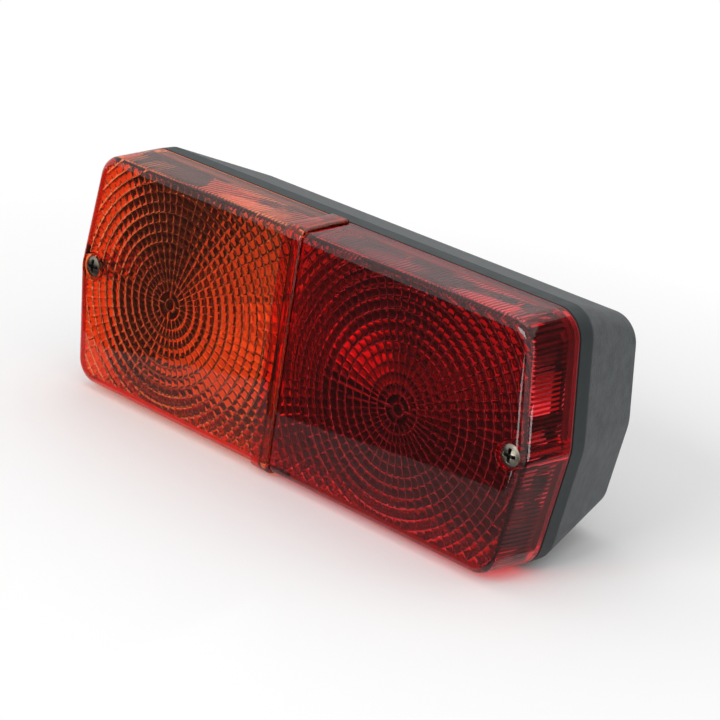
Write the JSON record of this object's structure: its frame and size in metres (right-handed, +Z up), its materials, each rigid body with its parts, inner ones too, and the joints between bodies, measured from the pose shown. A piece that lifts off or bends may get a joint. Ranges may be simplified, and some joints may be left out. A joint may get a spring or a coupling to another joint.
{
  "type": "tail light cluster",
  "caption": "Rear combination lamp with an amber indicator lens lapped over a red stop and tail lens, screwed to a tapered black housing that holds the bulbs and has studs at the back.",
  "frame": {"origin": "centre of the pair of mounting studs, on the flat back face of the housing", "axes": "+X along the length towards the red stop and tail end, +Y out of the back along the studs, +Z up; the lens faces -Y"},
  "size_m": [0.1838, 0.0825, 0.0788],
  "materials": {
    "housing_plastic": "black moulded plastic with a fine grain",
    "rubber": "matt black",
    "amber_lens": "clear amber acrylic, polished outside",
    "red_lens": "clear red acrylic, polished outside",
    "screw_steel": "nickel-plated",
    "bracket_steel": "bright zinc-plated sheet",
    "stud_steel": "zinc-plated",
    "contact_board": "brown laminate board",
    "spring_steel": "plain spring steel",
    "contact_brass": "plain brass strip",
    "socket_steel": "zinc-plated",
    "cap_metal": "nickel-plated",
    "bulb_glass": "clear"
  },
  "bodies": {
    "root": {"housing": "housing_plastic", "lens_gasket": "rubber", "amber_lens": "amber_lens", "red_lens": "red_lens", "lens_screws": "screw_steel", "bulb_bracket": "bracket_steel", "mounting_studs": "stud_steel", "cable_grommet": "rubber", "indicator_contact_plate": "contact_board", "stop_tail_contact_plate": "contact_board", "contact_spring": "spring_steel", "indicator_contact": "contact_brass", "stop_contact": "contact_brass", "tail_contact": "contact_brass", "earth_blade": "contact_brass", "indicator_socket": "socket_steel", "stop_tail_socket": "socket_steel", "indicator_bulb_cap": "cap_metal", "stop_tail_bulb_cap": "cap_metal", "indicator_bulb_glass": "bulb_glass", "stop_tail_bulb_glass": "bulb_glass"}
  },
  "joints": []
}
